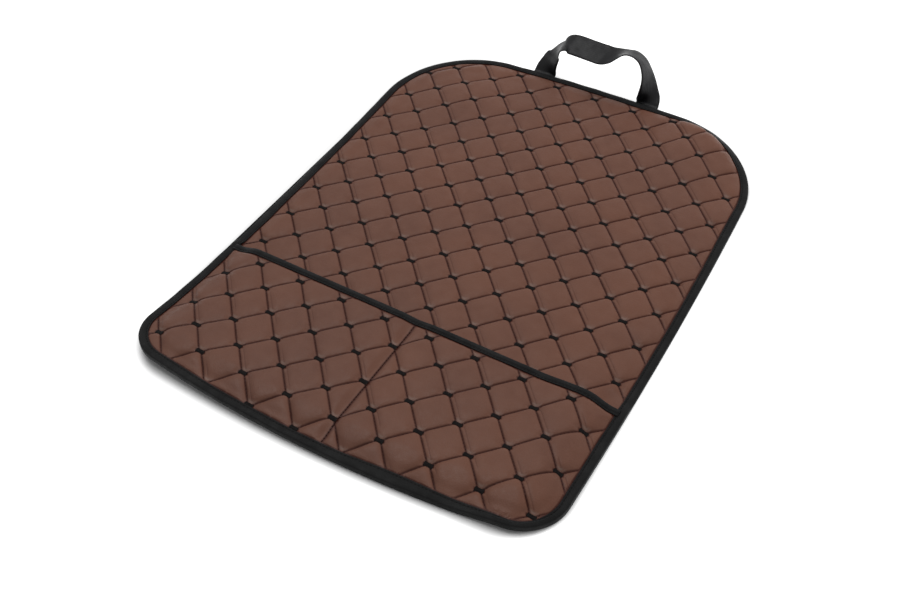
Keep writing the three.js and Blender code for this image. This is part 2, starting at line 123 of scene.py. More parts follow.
# Places of the webbing's middle from the middle of the top edge, and the direction across it
STRAP_ROUTE = [
    ((-70, 5, 3.5), (-1, 0, 0)),
    ((-67, 8, 14), (-0.9, 0.43, 0.05)),
    ((-63, 9, 23.5), (-0.77, 0.64, 0)),
    ((-59.5, 12.5, 30.5), (-0.53, 0.84, -0.1)),
    ((-53, 14.5, 40), (-0.26, 0.96, -0.09)),
    ((-42.5, 17, 44), (-0.23, 0.87, 0.43)),
    ((-15.5, 15.5, 44), (-0.02, 0.87, 0.48)),
    ((-2.5, 15.5, 43.5), (-0.08, 0.88, 0.47)),
    ((8, 15.5, 46), (-0.2, 0.95, 0.22)),
    ((24, 19.5, 52.5), (-0.1, 0.96, -0.26)),
    ((36, 21, 53), (-0.06, 0.96, -0.29)),
    ((47, 20, 47.5), (0.01, 0.95, -0.3)),
    ((55, 16, 38), (0.12, 0.96, -0.25)),
    ((60, 12, 27), (0.33, 0.93, -0.15)),
    ((63, 8, 15.5), (0.66, 0.74, -0.05)),
    ((65, 5, 3.5), (1, 0, 0)),
]

# How far the mat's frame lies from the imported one. The mouth tape is even about the mat's middle line.
tape_low, tape_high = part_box("pocket_mouth_tape")
SHIFT_X = (tape_low.x + tape_high.x) / 2 / MM - MOUTH_MIDDLE - MOUTH_REACH * math.sin(POCKET_TILT) / 2
SHIFT_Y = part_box("edge_binding")[0].y / MM - BOTTOM_Y


def smooth(t):
    t = np.clip(t, 0, 1)
    return t * t * (3 - 2 * t)


def noise(x, y, scale, seed):
    """Smooth random values from -1 to 1 that change over about `scale` millimetres."""
    table = np.random.default_rng(seed).uniform(-1, 1, (64, 64))
    u = np.asarray(x, float) / scale + 640
    v = np.asarray(y, float) / scale + 640
    i = np.floor(u).astype(int)
    j = np.floor(v).astype(int)
    a = smooth(u - i)
    b = smooth(v - j)
    at = lambda p, q: table[p % 64, q % 64]
    near = at(i, j) * (1 - a) + at(i + 1, j) * a
    far = at(i, j + 1) * (1 - a) + at(i + 1, j + 1) * a
    return near * (1 - b) + far * b


# Heights and distances, as in the CAD source


def lift(x, y):
    along = x * CURL_DIRECTION[0] + y * CURL_DIRECTION[1] - CURL_START
    curl = np.clip(along / CURL_LENGTH, 0, 1.15)
    swell = np.hypot((np.abs(x) - SWELL_PLACE[0]) / SWELL_RADIUS[0], (y - SWELL_PLACE[1]) / SWELL_RADIUS[1])
    rise = np.cos(np.minimum(swell, 1) * math.pi / 2) ** 2
    return CURL_HEIGHT * curl**2 + SWELL_HEIGHT * rise + roll(x, y)


def roll(x, y):
    """Beside the right end of the top edge the mat bulges up and its rim rolls down to the floor."""
    inside = top_distance(x, y)
    along = np.exp(-(((x - ROLL_X) / ROLL_SPREAD) ** 2))
    return ROLL_HEIGHT * along * smooth(inside / ROLL_RUN) * (1 - smooth((inside - ROLL_RUN) / 70))


def middle_x(y):
    return SIDEWAYS * (1 - (y / TOP_Y) ** 2)


def corner_distance(across, along, radius):
    round_part = radius - np.hypot(across, along)
    straight = radius - np.maximum(across, along)
    return np.where((across > 0) & (along > 0), round_part, straight)


def edge_distance(x, y):
    from_middle = np.abs(x - middle_x(y))
    edge_y = BOTTOM_Y + BOTTOM_BOW * (from_middle / HALF_WIDTH) ** 2
    across = from_middle - (HALF_WIDTH - BOTTOM_CORNER)
    return corner_distance(across, edge_y + BOTTOM_CORNER - y, BOTTOM_CORNER)


def top_distance(x, y):
    from_middle = np.abs(x - middle_x(y))
    edge_y = TOP_Y - TOP_ARCH * (from_middle / HALF_WIDTH) ** 2
    across = from_middle - (HALF_WIDTH - TOP_CORNER)
    return corner_distance(across, y - (edge_y - TOP_CORNER), TOP_CORNER)


def rim_distance(x, y):
    return np.minimum(edge_distance(x, y), top_distance(x, y))


def mouth_distance(x, y):
    return MOUTH_Y + x * math.tan(POCKET_TILT) - y


def divider_line(y):
    """Where the divider seam lies across the mat at y."""
    return DIVIDER_X + (MOUTH_Y - y) * math.tan(POCKET_TILT)


def divider_pull(x, y):
    return 1 - smooth(np.abs(x - divider_line(y)) / DIVIDER_RUN)


def mat_seam(x, y):
    inside = rim_distance(x, y) - EDGE_REACH
    return lift(x, y) + SEAM + FIRST_TONGUE * (1 - smooth(inside / EDGE_RUN))


def rim_bulge(inside):
    """The cells beside the edge tape stand fuller than the rest."""
    return 1 + RIM_BULGE * np.exp(-(((inside - 12) / 9) ** 2))


def mat_puff(x, y):
    inside = rim_distance(x, y) - EDGE_REACH
    under_pocket = smooth(1.5 + mouth_distance(x, y) / 20)
    bare = (EDGE_PUFF + (1 - EDGE_PUFF) * smooth(inside / EDGE_RUN)) * rim_bulge(inside)
    pressed = smooth((inside - PRESSED_RIM) / POCKET_RUN)
    return PUFF * (bare + (pressed - bare) * under_pocket)


def pocket_rise(x, y):
    inside = edge_distance(x, y) - EDGE_REACH - POCKET_RIM
    full = POCKET_TOP - DIVIDER_PINCH * divider_pull(x, y)
    return lift(x, y) + SECOND_TONGUE + (full - SECOND_TONGUE) * smooth(inside / POCKET_RUN)


def pocket_base(x, y):
    inside = mouth_distance(x, y) - MOUTH_REACH
    return pocket_rise(x, y) + FIRST_TONGUE * (1 - smooth(inside / EDGE_RUN))


def pocket_seam(x, y):
    return pocket_base(x, y) + SEAM


def pocket_puff(x, y):
    from_edge = edge_distance(x, y) - EDGE_REACH
    inside = np.minimum(from_edge, mouth_distance(x, y) - MOUTH_REACH)
    off = x - divider_line(y)
    beside = smooth(np.where(off > 0, off / 6, -off / 11))
    full = (EDGE_PUFF + (1 - EDGE_PUFF) * smooth(inside / EDGE_RUN)) * rim_bulge(from_edge)
    return PUFF * full * (0.12 + 0.88 * beside)


# Meshes


def place(points):
    """Points of the mat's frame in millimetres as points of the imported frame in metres."""
    return (np.asarray(points, float) + (SHIFT_X, SHIFT_Y, 0)) * MM


def new_object(name, points, faces, material):
    mesh = bpy.data.meshes.new(name)
    mesh.from_pydata(place(points).tolist(), [], faces)
    mesh.validate()
    mesh.shade_smooth()
    mesh.materials.append(material)
    obj = bpy.data.objects.new(name, mesh)
    bpy.context.scene.collection.objects.link(obj)
    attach(obj, "root")
    return obj


def add_values(obj, name, values):
    attribute = obj.data.attributes.new(name, "FLOAT", "POINT")
    attribute.data.foreach_set("value", np.asarray(values, np.float32))


# Quilting

LINE_STEPS = 11
BAR_STEPS = 3
CREASE_AT = 0.77
# A cell is meshed in rings from its stitching, 1, to its middle, 0. More of them lie beside tapes and seams.
OUTER_RINGS = (1, 0.965, 0.92, 0.86, 0.81, CREASE_AT, 0.72)
FINE_RINGS = (*OUTER_RINGS, 0.48, 0)
DIVIDED_RINGS = (*OUTER_RINGS, 0.65, 0.58, 0.5, 0.42, 0.34, 0.26, 0.18, 0.1, 0)
HIDDEN_RINGS = (1, 0.5, 0)
UNDER_RINGS = ((1, 1), (0.86, 0.35), (0.55, 0), (0, 0))  # with how strongly the stitching pulls each
CELL_SIDE = PITCH_X / 2 - CORNER / 2
CELL_TOP = PITCH_Y / 2
CELL_LEAN = CELL_SIDE - CORNER / 2
CELL_SPAN = CELL_TOP * CELL_SIDE
FLAT_TOP = 5  # the higher, the flatter a cell's top and the steeper its flanks
CROWN = 0.7
BAR_PULL = 3.4  # how far from a bar of thread the sheet is held down
FULLER = 0.05  # how much one cell's fullness differs from the next
LEANING = 0.004
BAR_DIP = 0.3
FOLD_DEPTH = 0.12
CREASE_DEPTH = 0.06
WANDER = 0.5  # how far the stitching wanders from its straight lines
PAST_EDGE = 30  # cells whose middle lies farther out are left out
TRIMMED_AT = 2.0  # the sheet ends so far in from the edge, inside the tape
SAME_POINT = 50  # neighbouring cells share points that agree to 1/50 mm


def cell_outline(line_steps=LINE_STEPS, bar_steps=BAR_STEPS):
    """A cell's outline from its middle: four stitch lines, with a bar above and a bar below."""
    corners = [
        (CELL_SIDE, 0),
        (CORNER / 2, CELL_TOP),
        (-CORNER / 2, CELL_TOP),
        (-CELL_SIDE, 0),
        (-CORNER / 2, -CELL_TOP),
        (CORNER / 2, -CELL_TOP),
    ]
    steps = [line_steps, bar_steps, line_steps, line_steps, bar_steps, line_steps]
    outline = []
    for k, count in enumerate(steps):
        start = np.array(corners[k], float)
        end = np.array(corners[(k + 1) % len(corners)], float)
        outline += [start + (end - start) * i / count for i in range(count)]
    return np.array(outline)


def to_lines(u, v):
    """Distances to the cell's two pairs of stitch lines, as shares: 0 in the middle and 1 on a line."""
    a = np.minimum(np.abs(CELL_TOP * u + CELL_LEAN * v) / CELL_SPAN, 1)
    b = np.minimum(np.abs(CELL_TOP * u - CELL_LEAN * v) / CELL_SPAN, 1)
    return a, b


def to_bar(u, v):
    """Distance to the nearest bar of thread, from a point of a cell."""
    above = np.hypot(np.maximum(np.abs(u) - BAR / 2, 0), CELL_TOP - np.abs(v))
    beside = np.hypot(np.maximum(PITCH_X / 2 - np.abs(u) - BAR / 2, 0), v)
    return np.minimum(above, beside)


def pillow(u, v):
    """Height of a puff at (u, v) from its cell's middle, from 0 at the stitching to 1."""
    a, b = to_lines(u, v)
    body = ((1 - a**FLAT_TOP) * (1 - b**FLAT_TOP)) ** CROWN
    return body * (1 - np.exp(-(((to_bar(u, v) + 0.6) / BAR_PULL) ** 2)))


def creased(u, v, x, y, seed):
    """1 on the fine crease that runs along the left of most cells, about 4 mm from the stitching. The sheet
    dips a little there, and the leather gets a painted shade along it.
    """
    slant = (CELL_TOP * u + CELL_LEAN * v) / CELL_SPAN
    present = smooth(0.7 + 2.5 * noise(x, y, 31, seed))
    return present * np.exp(-(((slant + CREASE_AT) / 0.03) ** 2))


def bar_sheen_share(u, v):
    """1 just above a bar, at its cell's lower corner: there a painted highlight stands for the sheen on the
    steep facet.
    """
    off = np.hypot(np.maximum(np.abs(u) - BAR / 3, 0), CELL_TOP + v)
    return np.exp(-(((off - 3.3) / 1.1) ** 2)) * (v < 0)


def seam_share(u, v):
    """1 on the stitching, falling off within about 2 mm of it."""
    length = math.hypot(CELL_TOP, CELL_LEAN)
    line = (CELL_SPAN - CELL_TOP * np.abs(u) - CELL_LEAN * np.abs(v)) / length
    return np.exp(-np.maximum(np.minimum(line, to_bar(u, v)), 0) / 1.6)


def turned(u, v, knot, turn):
    cos, sin = math.cos(turn), math.sin(turn)
    return knot[0] + u * cos - v * sin, knot[1] + u * sin + v * cos


def drift(x, y, seed):
    """The stitching wanders a little from its straight lines."""
    return x + WANDER * noise(x, y, 60, seed), y + WANDER * noise(x, y, 60, seed + 1)


def lattice(odd):
    """Column and row numbers of the cells (odd) or the knots (not odd) over the whole mat."""
    reach_x = int(HALF_WIDTH / (PITCH_X / 2)) + 12
    reach_y = int(TOP_Y / (PITCH_Y / 2)) + 14
    return [
        (column, row)
        for row in range(-reach_y, reach_y + 1)
        for column in range(-reach_x, reach_x + 1)
        if (row + column) % 2 == odd
    ]


class Cells:
    """The cells of a sheet's upper side: points in plan, each one's place in its cell, and faces."""

    def __init__(self, sheet):
        self.sheet = sheet
        self.flat = []
        self.local = []
        self.faces = []
        self.shared = {}

    def point(self, middle, offset, gains):
        u, v = middle[0] + offset[0], middle[1] + offset[1]
        self.flat.append(turned(u, v, self.sheet.knot, self.sheet.turn))
        self.local.append((*offset, *gains))
        return len(self.flat) - 1

    def ring(self, middle, outline, share, gains):
        """One ring of a cell. Neighbours share the points of their outlines."""
        if share < 1:
            return [self.point(middle, offset, gains) for offset in outline * share]
        ring = []
        for offset in outline:
            key = tuple(round((middle[k] + offset[k]) * SAME_POINT) for k in range(2))
            if key not in self.shared:
                self.shared[key] = self.point(middle, offset, gains)
            ring.append(self.shared[key])
        return ring

    def add(self, middle, outline, shares, gains):
        rings = [self.ring(middle, outline, share, gains) for share in shares[:-1]]
        size = len(outline)
        for outer, inner in zip(rings, rings[1:]):
            for k in range(size):
                after = (k + 1) % size
                self.faces.append((outer[k], outer[after], inner[after], inner[k]))
        centre = self.point(middle, (0, 0), gains)
        for k in range(size):
            self.faces.append((rings[-1][k], rings[-1][(k + 1) % size], centre))

    def trimmed(self):
        """What lies on the sheet: x, y, distance in from its edge, places in the cells, and faces."""
        flat = np.array(self.flat)
        x, y = drift(flat[:, 0], flat[:, 1], self.sheet.seed)
        depth = self.sheet.inside(x, y)
        kept = [face for face in self.faces if min(depth[list(face)]) > TRIMMED_AT]
        used = np.unique(np.concatenate([np.array(face) for face in kept]))
        renumber = np.full(len(x), -1)
        renumber[used] = np.arange(len(used))
        kept = [tuple(int(renumber[i]) for i in face) for face in kept]
        return x[used], y[used], depth[used], np.array(self.local)[used], kept


def ring_shares(sheet, x, y):
    """The rings of the cell whose middle is at x, y."""
    if sheet.hidden(x, y):
        return HIDDEN_RINGS
    by_tape = sheet.inside(x, y) < EDGE_REACH + PITCH_X / 2
    return DIVIDED_RINGS if by_tape or sheet.dense(x, y) else FINE_RINGS


def sheet_cells(sheet):
    cells = Cells(sheet)
    outline = cell_outline()
    rng = np.random.default_rng(sheet.seed)
    for column, row in lattice(1):
        middle = (column * PITCH_X / 2, row * PITCH_Y / 2)
        gains = rng.normal(0, 1, 3)
        x, y = turned(*middle, sheet.knot, sheet.turn)
        if sheet.inside(x, y) >= -PAST_EDGE:
            cells.add(middle, outline, ring_shares(sheet, x, y), gains)
    return cells


def upper_side(sheet, x, y, depth, local):
    """Heights of a sheet's upper side, and how strongly each kind of mark shows there."""
    u, v, fuller, along_u, along_v = local.T
    # Each puff is a little fuller or flatter than the next, and leans a little
    shape = pillow(u, v)
    shape = shape * (1 + FULLER * fuller + LEANING * along_u * u + LEANING * along_v * v)
    dip = BAR_DIP * np.exp(-((to_bar(u, v) / 3) ** 2))
    small = 0.16 * noise(x * 1.3 + y, y - x * 0.4, 5, sheet.seed + 5)
    crease = small + 0.22 * noise(x, y, 11, sheet.seed + 6)
    fold = creased(u, v, x, y, sheet.seed + 7)
    relief = shape + CREASE_DEPTH * crease * smooth(shape * 3) - FOLD_DEPTH * fold
    z = sheet.seam(x, y) + sheet.puff(x, y) * relief - dip
    # It goes down beside a tape and lies flat inside it
    tongue = sheet.under(x, y, depth) + TONGUE
    from_tape = depth - np.maximum(EDGE_REACH - near_corner(x, y), edge_reach(x, y))
    z = tongue + (z - tongue) * smooth((from_tape + 0.3) / 3.2)
    inside_tape = lift(x, y) + edge_height(x, y) - TAPE - 0.1
    z = np.where(edge_distance(x, y) < EDGE_REACH, np.minimum(z, inside_tape), z)
    stitched = np.maximum(seam_share(u, v), sheet.stitched(x, y))
    # Near the stitching and beside a tape: where creases gather, and where the leather gets a painted shade
    # for the grooves.
    tight_shaded = np.maximum(stitched, 1 - smooth(from_tape / 3))
    return z, {"tight_shaded": tight_shaded, "fold": fold, "bar_sheen": bar_sheen_share(u, v)}


def border_of(faces):
    """The edges that only one face has, each walked the way of that face."""
    border = {}
    for face in faces:
        for k, a in enumerate(face):
            b = face[(k + 1) % len(face)]
            if (b, a) in border:
                del border[(b, a)]
            else:
                border[(a, b)] = True
    return list(border)


def under_points(sheet):
    """Points of the underside. A bare underside is pulled in a little along the same stitching."""
    flat = []
    pulled = []
    ring = cell_outline(3, 2)
    for column, row in lattice(1):
        cu, cv = column * PITCH_X / 2, row * PITCH_Y / 2
        for share, pull in UNDER_RINGS:
            for du, dv in ring * share if share else [(0, 0)]:
                if share == 1 and (du < -0.01 or dv < -0.01 - CELL_TOP * 0.999):
                    continue  # this point belongs to a neighbour
                flat.append(turned(cu + du, cv + dv, sheet.knot, sheet.turn))
                pulled.append(pull)
    flat = np.array(flat)
    x, y = drift(flat[:, 0], flat[:, 1], sheet.seed)
    depth = sheet.inside(x, y)
    keep = depth > EDGE_REACH + 1.5
    x, y, depth = x[keep], y[keep], depth[keep]
    z = sheet.under(x, y, depth)
    if sheet.bare:
        z = z + (0.6 * np.array(pulled)[keep] + 0.1 * noise(x, y, 14, sheet.seed + 8) + 0.1)
    return np.c_[x, y, z]


def add_underside(sheet, points, faces, x, y, depth):
    """Adds a wall down from the upper side's border, and the underside between its lower edges."""
    border = border_of(faces)
    rim = sorted({a for edge in border for a in edge})
    lower = {a: len(points) + k for k, a in enumerate(rim)}
    points += np.c_[x[rim], y[rim], sheet.under(x[rim], y[rim], depth[rim])].tolist()
    faces += [(b, a, lower[a], lower[b]) for a, b in border]
    inner = under_points(sheet)
    plan = [Vector((x[a], y[a])) for a in rim] + [Vector(spot[:2]) for spot in inner]
    at_rim = {a: k for k, a in enumerate(rim)}
    edges = [(at_rim[a], at_rim[b]) for a, b in border]
    spots, _, cells, origins, _, _ = geometry.delaunay_2d_cdt(plan, edges, [], 1, 1e-4, True)
    first_inner = len(points)
    points += inner.tolist()
    index = []
    for spot, origin in zip(spots, origins):
        if not origin:
            height = sheet.under(spot.x, spot.y, sheet.inside(spot.x, spot.y))
            points.append([spot.x, spot.y, float(height)])
            index.append(len(points) - 1)
        elif origin[0] < len(rim):
            index.append(lower[rim[origin[0]]])
        else:
            index.append(first_inner + origin[0] - len(rim))
    faces += [tuple(index[i] for i in reversed(cell)) for cell in cells]


def quilted(sheet, material):
    """A quilted sheet: its cells' puffs above, a plain wall round its edge and its underside."""
    x, y, depth, local, faces = sheet_cells(sheet).trimmed()
    z, marks = upper_side(sheet, x, y, depth, local)
    points = np.c_[x, y, z].tolist()
    add_underside(sheet, points, faces, x, y, depth)
    obj = new_object(sheet.name, points, faces, material)
    below = np.zeros(len(points) - len(x))
    for name, values in marks.items():
        add_values(obj, name, np.r_[values, below])
    add_values(obj, "back", np.r_[np.zeros(len(x)), below + 1])
    return obj


def pocket_inside(x, y):
    """Distance in from the pocket's edges, its mouth counted as if its tape reached as far as the edge's."""
    return np.minimum(edge_distance(x, y), mouth_distance(x, y) + (EDGE_REACH - MOUTH_REACH))


def mat_under(x, y, depth):
    return lift(x, y) + FIRST_TONGUE * (1 - smooth((depth - EDGE_REACH - 0.3) / 3))


def pocket_under(x, y, depth):
    return pocket_base(x, y)


def divider_share(x, y):
    """1 on the divider's stitching, falling off sooner on its left than on its right, so the painted shade
    beside it is wider on its right.
    """
    off = x - divider_line(y)
    return np.exp(-np.where(off > 0, off / 3.2, -off / 1.6))


# What sets the two sheets apart. Hidden cells are meshed coarsely and dense ones finely.
mat_sheet = SimpleNamespace(
    name="mat_panel",
    knot=MAT_KNOT,
    turn=0,
    inside=rim_distance,
    seam=mat_seam,
    puff=mat_puff,
    under=mat_under,
    bare=True,
    hidden=lambda x, y: mouth_distance(x, y) > UNSEEN,
    dense=lambda x, y: False,
    stitched=lambda x, y: np.zeros_like(x),
    seed=11,
)
pocket = SimpleNamespace(
    name="pocket_sheet",
    knot=POCKET_KNOT,
    turn=POCKET_TILT,
    inside=pocket_inside,
    seam=pocket_seam,
    puff=pocket_puff,
    under=pocket_under,
    bare=False,
    hidden=lambda x, y: False,
    dense=lambda x, y: abs(x - divider_line(y)) < NEAR_DIVIDER,
    stitched=divider_share,
    seed=23,
)


# Threads

BAR_STRANDS = 10
BAR_THREAD = 0.52
QUILT_STITCH = 3.6
QUILT_THREAD = 0.42
STITCH_SHARE = 0.35  # half a stitch's share of the way to the next


def strand(points, up, radius, sides=5):
    """Points of a thread: a ring of them round each point of its path."""
    points = np.array(points, float)
    along = np.gradient(points, axis=0)
    along /= np.linalg.norm(along, axis=1)[:, None]
    side = np.cross(along, up)
    side /= np.linalg.norm(side, axis=1)[:, None]
    over = np.cross(side, along)
    angles = np.arange(sides) * 2 * math.pi / sides + math.pi / 2
    rings = [points + radius * (math.cos(angle) * side + math.sin(angle) * over) for angle in angles]
    return np.stack(rings, 1).reshape(-1, 3)


def strand_faces(count, sides, start):
    faces = []
    for i in range(count - 1):
        for k in range(sides):
            a = start + i * sides + k
            b = start + i * sides + (k + 1) % sides
            faces.append((a, b, b + sides, a + sides))
    faces.append(tuple(start + k for k in reversed(range(sides))))
    faces.append(tuple(start + (count - 1) * sides + k for k in range(sides)))
    return faces


class Threads:
    """Many short threads gathered in one object."""

    def __init__(self):
        self.points = []
        self.faces = []
        self.count = 0

    def add(self, path, radius, sides=5):
        ring_points = strand(path, (0, 0, 1), radius, sides)
        self.faces += strand_faces(len(path), sides, self.count)
        self.points.append(ring_points)
        self.count += len(ring_points)

    def stitches(self, path, height, pitch, radius, sink):
        """Stitches along a path of plan points, each a short thread that dives in at both ends."""
        path = np.array(path, float)
        steps = np.hypot(*np.diff(path, axis=0).T)
        reached = np.r_[0, np.cumsum(steps)]
        count = max(1, round(reached[-1] / pitch))
        for i in range(count):
            middle = (i + 0.5) * reached[-1] / count
            half = STITCH_SHARE * reached[-1] / count
            shares = np.array([-1, -0.72, 0, 0.72, 1])
            at = middle + shares * half
            px = np.interp(at, reached, path[:, 0])
            py = np.interp(at, reached, path[:, 1])
            rise = np.array([-1.6, 0.15, 0.55, 0.15, -1.6]) * radius - sink
            self.add(np.c_[px, py, height(px, py) + rise], radius)

    def make(self, name, material, slot=None):
        return new_object(name, np.concatenate(self.points), self.faces, material)


def add_bar(bars, at, ku, kv, seam, jitter):
    """A bar of thread over a knot: strands that lie close beside each other."""
    for i in range(BAR_STRANDS):
        u = ku + (i + 0.5 - BAR_STRANDS / 2) * (BAR + jitter[0]) / BAR_STRANDS
        v = kv + np.array([-0.5, -0.42, -0.2, 0.2, 0.42, 0.5]) * (BAR_WIDTH + jitter[1] * 0.6)
        x, y = at(np.full(6, u), v)
        z = seam(x, y) - 0.3 + np.array([-0.7, 0.3, 0.75, 0.75, 0.3, -0.7])
        bars.add(np.c_[x, y, z], BAR_THREAD)


def quilt_threads(threads, bars, sheet, covered=None):
    """Stitches along the cells' lines, and a bar of close stitches at each knot."""
    rng = np.random.default_rng(sheet.seed + 40)

    def at(u, v):
        return drift(*turned(u, v, sheet.knot, sheet.turn), sheet.seed)

    for column, row in lattice(0):
        ku, kv = column * PITCH_X / 2, row * PITCH_Y / 2
        bar_x, bar_y = at(ku, kv)
        jitter = rng.uniform(-0.5, 0.5, 2)
        on_sheet = sheet.inside(bar_x, bar_y) > EDGE_REACH + 1.2
        if on_sheet and not (covered and covered(bar_x, bar_y)):
            add_bar(bars, at, ku, kv, sheet.seam, jitter)
        for side in (1, -1):
            # From this bar's right end up to the next bar's left end, or down to it
            start = np.array([ku + CORNER / 2, kv])
            end = np.array([ku + PITCH_X / 2 - CORNER / 2, kv + side * PITCH_Y / 2])
            line = start + (end - start) * np.linspace(0.02, 0.98, 16)[:, None]
            x, y = at(line[:, 0], line[:, 1])
            good = sheet.inside(x, y) > EDGE_REACH + 0.9
            if covered:
                good &= ~covered(x, y)
            if good.sum() >= 3:
                threads.stitches(np.c_[x, y][good], sheet.seam, QUILT_STITCH, QUILT_THREAD, 0.1)


# Swept tapes


def sweep(name, path, section_at, rise, closed, material):
    """A tape swept along a path. A section is an array of (in from the edge, up) points."""
    rows = []
    for i, (x, y, in_x, in_y) in enumerate(zip(*path)):
        section = section_at(i)
        px = x + in_x * section[:, 0]
        py = y + in_y * section[:, 0]
        rows.append(np.c_[px, py, section[:, 1] + rise(px, py)])
    return grid_object(name, np.array(rows), closed, material)


def grid_object(name, rows, closed, material):
    """A tube-like mesh from rings of equal size, with its length and girth in metres as its UV map."""
    count, size, _ = rows.shape
    faces = []
    spans = count if closed else count - 1
    for i in range(spans):
        j = (i + 1) % count
        for k in range(size):
            m = (k + 1) % size
            faces.append((i * size + k, i * size + m, j * size + m, j * size + k))
    if not closed:
        faces.append(tuple(reversed(range(size))))
        faces.append(tuple((count - 1) * size + k for k in range(size)))
    obj = new_object(name, rows.reshape(-1, 3), faces, material)
    middle = rows.mean(1)
    length = np.r_[0, np.cumsum(np.linalg.norm(np.diff(np.r_[middle, middle[:1]], axis=0), axis=1))]
    girth = np.r_[0, np.cumsum(np.linalg.norm(np.diff(np.c_[rows[0].T, rows[0][0]].T, axis=0), axis=1))]
    layer = obj.data.uv_layers.new(name="strip")
    for polygon in obj.data.polygons:
        face = polygon.index
        if face >= spans * size:
            continue
        i, k = divmod(face, size)
        corners = ((i, k), (i, k + 1), (i + 1, k + 1), (i + 1, k))
        vertices = ((i, k), (i, (k + 1) % size), ((i + 1) % count, (k + 1) % size), ((i + 1) % count, k))
        by_vertex = {a * size + b: c for (a, b), c in zip(vertices, corners)}
        for loop in polygon.loop_indices:
            a, b = by_vertex[obj.data.loops[loop].vertex_index]
            layer.data[loop].uv = (length[a] * MM, girth[b] * MM)
    return obj


def rim_path(step):
    """The mat's edge, counterclockwise, as closely spaced points with the direction in from the edge."""
    top = TOP_Y - TOP_ARCH
    bottom = BOTTOM_Y + BOTTOM_BOW
    corner_x = HALF_WIDTH - TOP_CORNER
    low_x = HALF_WIDTH - BOTTOM_CORNER

    def arc(cx, cy, radius, quarter):
        count = int(radius * math.pi / 2 / step)
        angle = (quarter + np.arange(count) / count) * math.pi / 2
        return np.c_[cx + radius * np.cos(angle), cy + radius * np.sin(angle)]

    def run(start, end):
        start, end = np.array(start, float), np.array(end, float)
        count = int(np.linalg.norm(end - start) / step)
        return start + (end - start) * (np.arange(count) / count)[:, None]

    plain = np.concatenate(
        [
            run((HALF_WIDTH, bottom + BOTTOM_CORNER), (HALF_WIDTH, top - TOP_CORNER)),
            arc(corner_x, top - TOP_CORNER, TOP_CORNER, 0),
            run((corner_x, top), (-corner_x, top)),
            arc(-corner_x, top - TOP_CORNER, TOP_CORNER, 1),
            run((-HALF_WIDTH, top - TOP_CORNER), (-HALF_WIDTH, bottom + BOTTOM_CORNER)),
            arc(-low_x, bottom + BOTTOM_CORNER, BOTTOM_CORNER, 2),
            run((-low_x, bottom), (low_x, bottom)),
            arc(low_x, bottom + BOTTOM_CORNER, BOTTOM_CORNER, 3),
        ]
    )
    bow = 1 - (plain[:, 0] / HALF_WIDTH) ** 2
    y = plain[:, 1] + bow * np.where(plain[:, 1] > 0, TOP_ARCH, -BOTTOM_BOW)
    x = plain[:, 0] + middle_x(y)
    ahead = np.roll(np.c_[x, y], -1, 0) - np.roll(np.c_[x, y], 1, 0)
    ahead /= np.linalg.norm(ahead, axis=1)[:, None]
    return x, y, -ahead[:, 1], ahead[:, 0]


def tape_section(height, reach, fold, wave):
    """Folded tape round a sheet's edge: its outside from below to above, then its inside."""
    return np.array(
        [
            (reach, 0),
            (reach * 0.55, 0),
            (1.4, 0),
            (0.45, 0.35),
            (0.05, 1.1),
            (-0.05, height * 0.5),
            (0.05, height - 1.15),
            (0.5, height - 0.4 + fold),
            (1.5, height + fold),
            (3.0, height + 0.3 + fold + wave),
            (4.8, height + 0.25 + fold + wave),
            (reach - 2.9, height + 0.05 + wave * 0.6),
            (reach - 2.2, height - 0.3),
            (reach - 1.6, height - 0.32),
            (reach - 1.0, height + 0.05),
            (reach - 0.3, height - 0.02),
            (reach, height - 0.35),
            (reach - 0.05, height - TAPE + 0.05),
            (reach - 1.6, height - TAPE - 0.02),
            (1.9, height - TAPE),
            (1.1, height - TAPE - 0.5),
            (1.05, TAPE + 0.5),
            (1.9, TAPE),
            (reach, TAPE),
        ]
    )


def edge_height(x, y):
    doubled = smooth(1 + mouth_distance(x, y) / 12)
    return TAPE_HEIGHT + doubled * (TONGUE + CLEAR)


def near_corner(x, y):
    """How much narrower the edge tape lies round the lower right corner."""
    return 3.2 * np.exp(-(((x - 200) / 42) ** 2) - ((y + 296) / 30) ** 2)


def edge_reach(x, y):
    bulge = 2.6 * np.exp(-(((x - 75) / 45) ** 2)) * smooth((-y - 250) / 30)
    return EDGE_REACH + 0.45 * noise(x, y, 26, 71) + bulge - near_corner(x, y)


def make_edge_tape(material):
    path = rim_path(RIM_STEP)
    x, y = path[:2]
    height = edge_height(x, y)
    reach = edge_reach(x, y)
    fold = 0.3 * noise(x, y, 17, 72)
    wave = 0.28 * noise(x, y, 9, 73)

    def section(i):
        return tape_section(height[i], reach[i], fold[i], wave[i])

    return sweep("edge_tape", path, section, lift, True, material)


def make_mouth_tape(material):
    end = HALF_WIDTH - EDGE_REACH + 2.5
    x = np.arange(MOUTH_MIDDLE + end, MOUTH_MIDDLE - end, -2.0)
    y = MOUTH_Y + x * math.tan(POCKET_TILT)
    in_x = np.full(len(x), math.sin(POCKET_TILT))
    in_y = np.full(len(x), -math.cos(POCKET_TILT))
    wave = 0.2 * noise(x, y, 11, 81)
    reach = MOUTH_REACH + 0.3 * noise(x, y, 30, 82)

    def section(i):
        return tape_section(TAPE_HEIGHT, reach[i], 0.15, wave[i])

    return sweep("mouth_tape", (x, y, in_x, in_y), section, pocket_rise, False, material)


